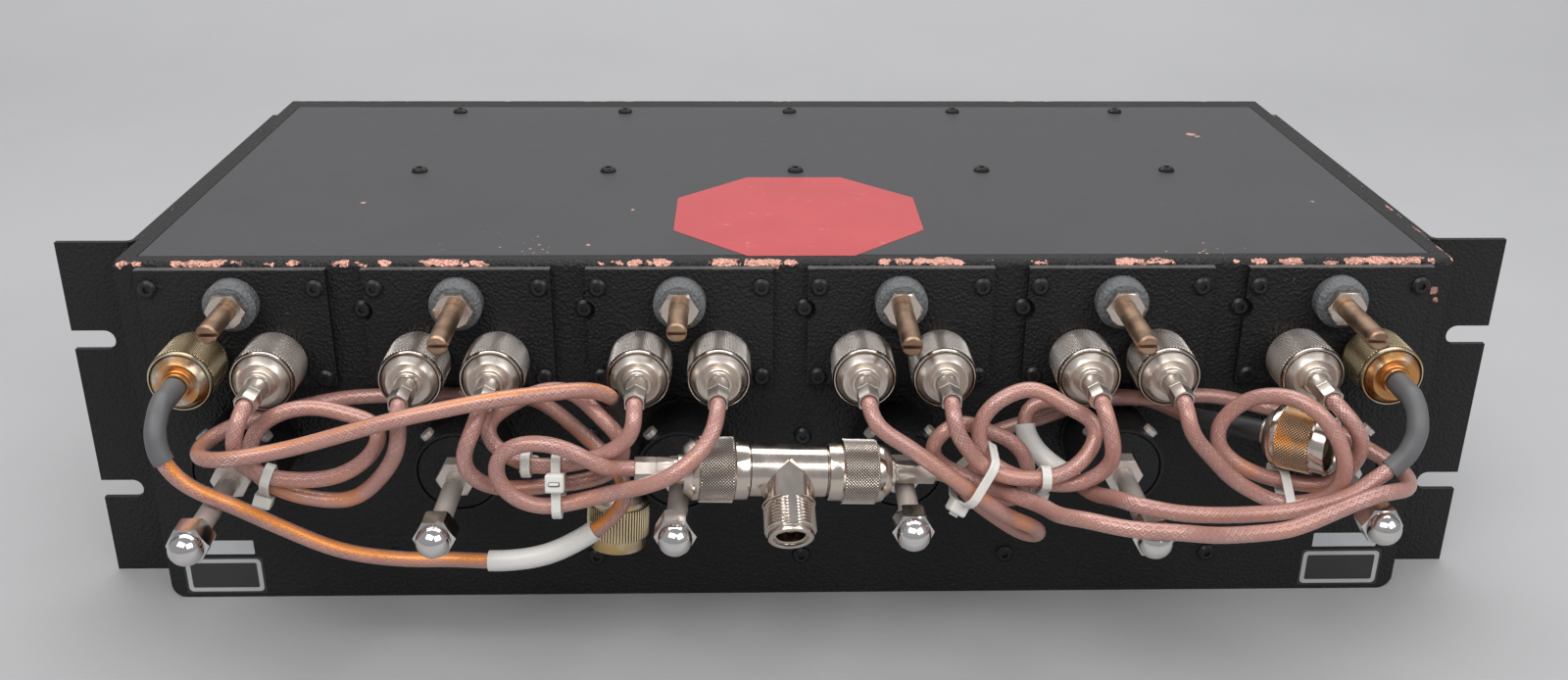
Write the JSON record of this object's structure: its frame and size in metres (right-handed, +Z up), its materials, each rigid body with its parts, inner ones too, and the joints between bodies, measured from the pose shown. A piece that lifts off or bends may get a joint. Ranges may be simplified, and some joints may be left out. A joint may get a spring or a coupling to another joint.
{
  "type": "cavity duplexer",
  "caption": "Flat rack-mounted cavity duplexer with coaxial tuners, loop plates, coaxial jumper cables, a tee and two free plugs.",
  "frame": {"origin": "middle of the base, under the box of the part without its free cables", "axes": "+X along the front to the right, +Y from the front into the case, +Z up"},
  "size_m": [0.4826, 0.2865, 0.1265],
  "materials": {
    "case_paint": "fine wrinkle black, worn to copper at the top edges",
    "cover_paint": "dull dark grey with a soft sheen",
    "black_screws": "black oxide",
    "copper": "bare copper plating",
    "cap_paint": "grey paint with a rounded rim",
    "nickel": "warm dull nickel, diamond knurl",
    "tarnished_nickel": "tarnished nickel, straight knurl",
    "brass": "turned brass",
    "bright_steel": "bright turned steel",
    "polished_nickel": "polished",
    "cable_braid": "pale pink translucent jacket over braid",
    "shrink_sleeve": "matte grey heat-shrink",
    "clear_sleeve": "milky translucent tube",
    "cable_tie": "natural white nylon"
  },
  "bodies": {
    "case": {"cavity_housing": "case_paint", "top_cover": "cover_paint", "cavity_dividers": "copper", "left_rack_bracket": "case_paint", "right_rack_bracket": "case_paint", "bracket_screws": "black_screws", "loop_plates": "case_paint", "plate_screws": "black_screws", "panel_screws": "black_screws", "cover_screws": "black_screws", "trimmer_bushes": "cap_paint", "trimmer_locknuts": "nickel", "resonator_tubes": "case_paint", "contact_collars": "copper", "boss_plugs": "case_paint", "boss_screws": "bright_steel", "tuning_locknuts": "bright_steel", "panel_jacks": "nickel", "jack_contacts": "brass", "jack_nuts": "bright_steel", "coupling_loops": "copper", "coupling_nuts": "nickel", "plug_bodies": "nickel", "crimp_ferrules": "nickel", "jumper_cable_1": "cable_braid", "jumper_cable_2": "cable_braid", "jumper_cable_3": "cable_braid", "jumper_cable_4": "cable_braid", "tee_lead_left": "cable_braid", "tee_lead_right": "cable_braid", "tx_pigtail": "cable_braid", "rx_pigtail": "cable_braid", "tee_body": "nickel", "tee_contacts": "brass", "shrink_sleeves": "shrink_sleeve", "clear_sleeves": "clear_sleeve", "cable_ties": "cable_tie", "tx_free_plug": "nickel", "rx_free_plug": "nickel"},
    "trimmer_1": {"trimmer_rod_1": "brass"},
    "tuner_1": {"tuning_rod_1": "bright_steel", "acorn_nut_1": "polished_nickel"},
    "trimmer_2": {"trimmer_rod_2": "brass"},
    "tuner_2": {"tuning_rod_2": "bright_steel", "acorn_nut_2": "polished_nickel"},
    "trimmer_3": {"trimmer_rod_3": "brass"},
    "tuner_3": {"tuning_rod_3": "bright_steel", "acorn_nut_3": "polished_nickel"},
    "trimmer_4": {"trimmer_rod_4": "brass"},
    "tuner_4": {"tuning_rod_4": "bright_steel", "acorn_nut_4": "polished_nickel"},
    "trimmer_5": {"trimmer_rod_5": "brass"},
    "tuner_5": {"tuning_rod_5": "bright_steel", "acorn_nut_5": "polished_nickel"},
    "trimmer_6": {"trimmer_rod_6": "brass"},
    "tuner_6": {"tuning_rod_6": "bright_steel", "acorn_nut_6": "polished_nickel"},
    "tx_nut": {"tx_free_nut": "tarnished_nickel"},
    "rx_nut": {"rx_free_nut": "tarnished_nickel"}
  },
  "joints": [
    {"name": "trimmer_slide_1", "type": "slide", "parent": "case", "child": "trimmer_1", "axis": [0, -1, 0], "range_m": [-0.012, 0.008]},
    {"name": "trimmer_slide_2", "type": "slide", "parent": "case", "child": "trimmer_2", "axis": [0, -1, 0], "range_m": [-0.012, 0.008]},
    {"name": "trimmer_slide_3", "type": "slide", "parent": "case", "child": "trimmer_3", "axis": [0, -1, 0], "range_m": [-0.012, 0.008]},
    {"name": "trimmer_slide_4", "type": "slide", "parent": "case", "child": "trimmer_4", "axis": [0, -1, 0], "range_m": [-0.012, 0.008]},
    {"name": "trimmer_slide_5", "type": "slide", "parent": "case", "child": "trimmer_5", "axis": [0, -1, 0], "range_m": [-0.012, 0.008]},
    {"name": "trimmer_slide_6", "type": "slide", "parent": "case", "child": "trimmer_6", "axis": [0, -1, 0], "range_m": [-0.012, 0.008]},
    {"name": "tuning_slide_1", "type": "slide", "parent": "case", "child": "tuner_1", "axis": [0, -1, 0], "range_m": [-0.005, 0.015]},
    {"name": "tuning_slide_2", "type": "slide", "parent": "case", "child": "tuner_2", "axis": [0, -1, 0], "range_m": [-0.005, 0.015]},
    {"name": "tuning_slide_3", "type": "slide", "parent": "case", "child": "tuner_3", "axis": [0, -1, 0], "range_m": [-0.005, 0.015]},
    {"name": "tuning_slide_4", "type": "slide", "parent": "case", "child": "tuner_4", "axis": [0, -1, 0], "range_m": [-0.005, 0.015]},
    {"name": "tuning_slide_5", "type": "slide", "parent": "case", "child": "tuner_5", "axis": [0, -1, 0], "range_m": [-0.005, 0.015]},
    {"name": "tuning_slide_6", "type": "slide", "parent": "case", "child": "tuner_6", "axis": [0, -1, 0], "range_m": [-0.005, 0.015]},
    {"name": "tx_nut_turn", "type": "hinge", "parent": "case", "child": "tx_nut", "pos_m": [-0.057, -0.08715, 0.034], "axis": [0.052, 0.1045, 0.9932], "continuous": true},
    {"name": "rx_nut_turn", "type": "hinge", "parent": "case", "child": "rx_nut", "pos_m": [0.1665, -0.10795, 0.0795], "axis": [-0.7861, 0.6142, -0.0698], "continuous": true}
  ]
}
